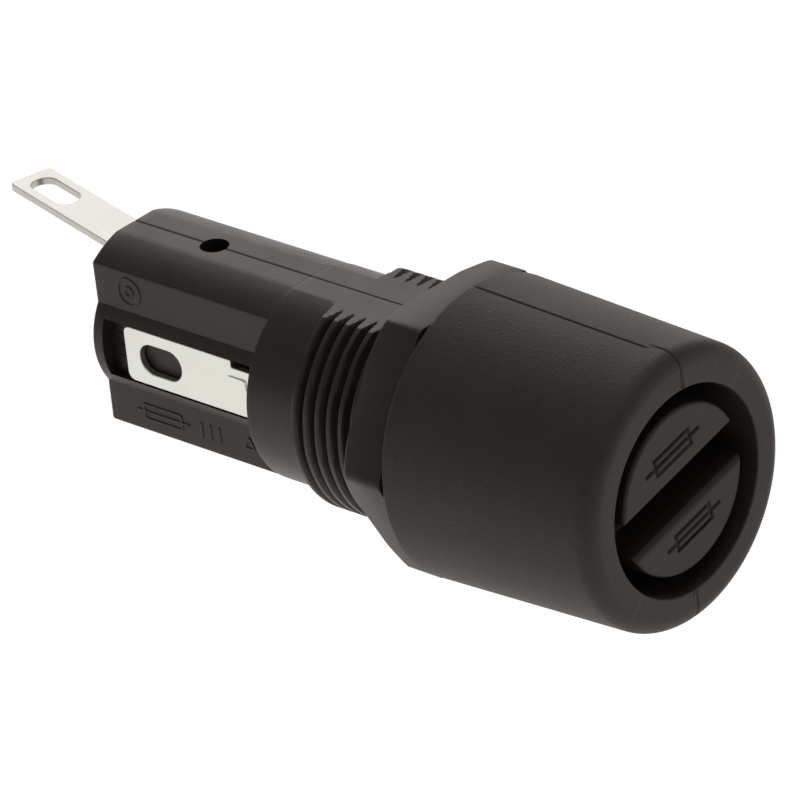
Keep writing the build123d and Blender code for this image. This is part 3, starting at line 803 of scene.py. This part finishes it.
# A raised line: a low half-round carried along a path of (y, z) points, closed to a point at each free end.
def raisedLine(path, closed, x, v):
    path = np.array(path, float)
    step = np.roll(path, -1, 0) - np.roll(path, 1, 0) if closed else np.gradient(path, axis=0)
    side = np.stack([-step[:, 1], step[:, 0]], 1) / np.linalg.norm(step, axis=1)[:, None] * v["stroke"] / 2
    t = np.linspace(0, math.pi, 7)
    offset = np.concatenate([np.cos(t), [-1, 1]])[None, :, None]
    lift = np.concatenate([np.sin(t) * v["height"], [-0.04, -0.04]])[None]
    flat = path[:, None] + side[:, None] * offset
    if not closed:
        flat = np.concatenate([np.repeat(path[:1, None], 9, 1), flat, np.repeat(path[-1:, None], 9, 1)])
    lift = np.broadcast_to(lift, flat.shape[:2]) * (1 if closed else np.r_[0, np.ones(len(path)), 0][:, None])
    return np.stack([x - lift, flat[..., 0], flat[..., 1]], -1), closed, True


# Points evenly spaced round a circle.
def circlePath(at, r, count, start=0):
    t = np.linspace(0, 2 * math.pi, count, endpoint=False) + start
    return np.stack([at[0] + r * np.cos(t), at[1] + r * np.sin(t)], 1)


# A ring in a ring, a fuse symbol, an arrowhead and three bars on the side flat, and three ribs in the pocket.
def markGrids(v):
    (sy, sz), (hy, hz), soft = v["symbolAt"], v["symbolHalf"], v["corner"]
    box = [(sy - hy, sz - hz), (sy + hy, sz - hz), (sy + hy, sz + hz), (sy - hy, sz + hz)]
    arrow = circlePath(v["arrowAt"], v["arrowR"], 3, math.pi / 2)
    paths = [(circlePath(v["ringAt"], v["ringR"], 48), True),
             (circlePath(v["ringAt"], v["ringR"] * v["innerRing"], 24), True),
             (softOutline(box, [soft] * 4, 3, 0.2), True),
             (np.linspace((sy - v["symbolLine"], sz), (sy + v["symbolLine"], sz), 20), False),
             (softOutline(arrow, [soft] * 3, 3, 0.1), True)]
    paths += [(np.linspace((y, sz - v["barHalf"]), (y, sz + v["barHalf"]), 8), False) for y in v["bars"]]
    low, high = v["pocketAt"]
    ribs = [np.linspace((low, z), (high, z), 8) for z in v["pocketBars"]]
    return ([raisedLine(path, closed, v["x"], v) for path, closed in paths]
            + [raisedLine(rib, False, v["pocketX"], v) for rib in ribs])


surfacePiece("bodyMarks", markGrids(marks), "holder", look["bodyMoulding"], sharp=60)
print("marks made")


# Fuse, contact cup and spring.
fuse = dict(front=-8.28, length=20.0, radius=2.6, capLength=5.0, capWall=0.18, capEnd=0.3, beadAt=0.9,
            beadWidth=0.25, beadDepth=0.05, glassWall=0.45, glassEdge=0.15, gap=0.02, wireR=0.09, wireGap=0.05,
            solderR=1.5, solderHeight=0.7, columns=128)
cup = dict(radius=2.55, front=11.75, length=2.4, wall=0.3, columns=96)
spring = dict(radius=1.75, wire=0.2, front=12.08, back=19.57, turns=6, endTurns=1.5)


# Glass tube, two caps with a rolled bead, solder fillets and the wire, each an outline turned about Y.
def fusePieces(v):
    rear, gap, glassR = v["front"] + v["length"], v["gap"], v["radius"] - v["capWall"] - v["gap"]
    g0, g1 = v["front"] + v["capEnd"] + gap, rear - v["capEnd"] - gap
    inner = glassR - v["glassWall"]
    tube = softOutline([(inner, g0), (glassR, g0), (glassR, g1), (inner, g1)], [v["glassEdge"]] * 4, 5)
    glass = surfacePiece("fuseGlassTube", [turnedGrid(tube, v["columns"], True)], "fuse", look["fuseGlass"],
                         60)
    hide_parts("fuse_glass_tube")
    for name, end, way in (("Front", v["front"], 1), ("Rear", rear, -1)):
        mouth, floor, inside = end + way * v["capLength"], end + way * v["capEnd"], v["radius"] - v["capWall"]
        bead, width = end + way * v["beadAt"], way * v["beadWidth"]
        cap = [(0, end), (v["radius"], end), (v["radius"], bead), (v["radius"] - v["beadDepth"], bead + width),
               (v["radius"], bead + 2 * width), (v["radius"], mouth), (inside, mouth), (inside, floor),
               (0, floor)]
        line = softOutline(cap, [0, 0.28, 0.1, 0.12, 0.1, 0.05, 0.05, 0.1, 0], 5, 0.6, closed=False)
        piece = surfacePiece(f"fuse{name}Cap", [turnedGrid(line, v["columns"])], "fuse",
                             look["fuseCapMetal"], 60)
        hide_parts(f"fuse_{name.lower()}_cap")
        top = floor + way * v["solderHeight"]
        t, hole = np.linspace(0, 1, 14), v["wireR"] + 0.01
        spread = v["solderR"] - v["wireR"]
        fillet = np.stack([hole + spread * (1 - t) ** 2, floor + (top - floor) * t ** 1.4], 1)
        blob = turnedGrid(np.concatenate([[(hole, floor)], fillet]), v["columns"] // 2, True)
        solder = surfacePiece(f"fuse{name}Solder", [blob], "fuse", look["dullSolder"], 60)
        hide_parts(f"fuse_{name.lower()}_solder")
    r, w0, w1 = v["wireR"], v["front"] + v["capEnd"] + v["wireGap"], rear - v["capEnd"] - v["wireGap"]
    line = softOutline([(0, w0), (r, w0), (r, w1), (0, w1)], [0, 0.03, 0.03, 0], 3, 0.6, closed=False)
    wire = surfacePiece("fuseWire", [turnedGrid(line, 16)], "fuse", look["bareWire"], 60)
    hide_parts("fuse_wire")


# The spring's wire: a circle carried round a helix whose first and last turns lie almost flat.
def springGrid(v):
    turns = v["turns"] + v["endTurns"]
    t = np.linspace(0, 1, int(turns * 40))
    rise = smooth((t - 0.07) / 0.86) * 0.35 + np.clip((t - 0.09) / 0.82, 0, 1) * 0.65
    low, high = v["front"] + v["wire"], v["back"] - v["wire"]
    a = t * turns * 2 * math.pi
    line = np.stack([v["radius"] * np.sin(a), low + (high - low) * rise, v["radius"] * np.cos(a)], 1)
    along = np.gradient(line, axis=0)
    along /= np.linalg.norm(along, axis=1, keepdims=True)
    outward = np.stack([np.sin(a), a * 0, np.cos(a)], 1)
    other = np.cross(along, outward)
    c = np.linspace(0, 2 * math.pi, 14, endpoint=False)[None, :, None]
    size = np.r_[0, np.full(len(t) - 2, v["wire"]), 0][:, None, None]
    return line[:, None] + size * (outward[:, None] * np.cos(c) + other[:, None] * np.sin(c)), False, True


fusePieces(fuse)
cupR, cupFront, cupRear, cupWall = cup["radius"], cup["front"], cup["front"] + cup["length"], cup["wall"]
cupCorners = [(0, cupFront), (cupR, cupFront), (cupR, cupRear), (cupR - cupWall, cupRear),
              (cupR - cupWall, cupFront + cupWall), (0, cupFront + cupWall)]
cupLine = softOutline(cupCorners, [0, 0.35, 0.08, 0.08, 0.2, 0], 6, 0.5, closed=False)
contactCup = surfacePiece("contactCup", [turnedGrid(cupLine, cup["columns"])], "rear_contact",
                          look["nickelContact"], 60)
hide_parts("rear_contact_cup")
contactSpring = surfacePiece("contactSpring", [springGrid(spring)], "holder",
                             look["springSteel"], 60)
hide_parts("contact_spring")
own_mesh(contactSpring)
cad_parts["carrier_clip"].data.materials.clear()
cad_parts["carrier_clip"].data.materials.append(look["nickelContact"])
print("fuse and contacts made")


# Camera: the directions of its right, top and back, its place in metres and its lens in millimetres.
view = dict(right=(0.6565, -0.7477, -0.1003), up=(0.4134, 0.2454, 0.8769), back=(-0.6310, -0.6171, 0.4702),
            place=(-0.2348, -0.2241, 0.1748), lens=346.5)
camera = bpy.data.objects.new("camera", bpy.data.cameras.new("camera"))
bpy.context.scene.collection.objects.link(camera)
camera.data.sensor_width, camera.data.lens = 36, view["lens"]
camera.data.clip_start, camera.data.clip_end = 0.01, 10
turn = Matrix((view["right"], view["up"], view["back"])).transposed().to_4x4()
camera.matrix_world = Matrix.Translation(view["place"]) @ turn
bpy.context.scene.camera = camera

# Stage and lamps: places and sizes in metres, power in watts.
stage = dict(floorLevel=-0.045, floorHalf=3.0, floorTone=(0.88, 0.87, 0.86), floorGlow=0.5,
             worldTone=(1, 0.99, 0.98), world=0.33, backdrop=0.95)
lamps = {
    "keyBehind": dict(place=(0.52, 0.5, 0.42), size=0.75, power=2.5),
    "overhead": dict(place=(0.05, -0.1, 0.9), size=0.7, power=1.9),
    "frontFill": dict(place=(0.45, -0.6, 0.25), size=0.4, power=0.45),
}

half, low = stage["floorHalf"], stage["floorLevel"]
floorMesh = bpy.data.meshes.new("floor")
corners = [(-half, -half, low), (half, -half, low), (half, half, low), (-half, half, low)]
floorMesh.from_pydata(corners, [], [(0, 1, 2, 3)])
floor = bpy.data.objects.new("floor", floorMesh)
bpy.context.scene.collection.objects.link(floor)
material, nodes, links, shader, point = newMaterial("paleFloor")
shader.inputs["Base Color"].default_value = (*stage["floorTone"], 1)
shader.inputs["Roughness"].default_value = 0.9
shader.inputs["Emission Color"].default_value = (*stage["floorTone"], 1)
shader.inputs["Emission Strength"].default_value = stage["floorGlow"]
floorMesh.materials.append(material)

world = bpy.data.worlds.new("studio")
bpy.context.scene.world = world
world.use_nodes = True
nodes, links = world.node_tree.nodes, world.node_tree.links
nodes["Background"].inputs["Color"].default_value = (*stage["worldTone"], 1)
ray = nodes.new("ShaderNodeLightPath")    # the empty room is pale to look at, and lights the piece only softly
extra = stage["backdrop"] - stage["world"]
seen = mathNode(nodes, links, "MULTIPLY_ADD", ray.outputs["Is Camera Ray"], extra)
seen.node.inputs[2].default_value = stage["world"]
links.new(seen, nodes["Background"].inputs["Strength"])
for name, v in lamps.items():
    lamp = bpy.data.objects.new(name, bpy.data.lights.new(name, "AREA"))
    lamp.data.size, lamp.data.energy = v["size"], v["power"]
    place = Vector(v["place"])
    lamp.matrix_world = Matrix.Translation(place) @ place.to_track_quat("Z", "Y").to_matrix().to_4x4()
    bpy.context.scene.collection.objects.link(lamp)
bpy.context.scene.view_settings.view_transform = "Standard"
print("stage lit")
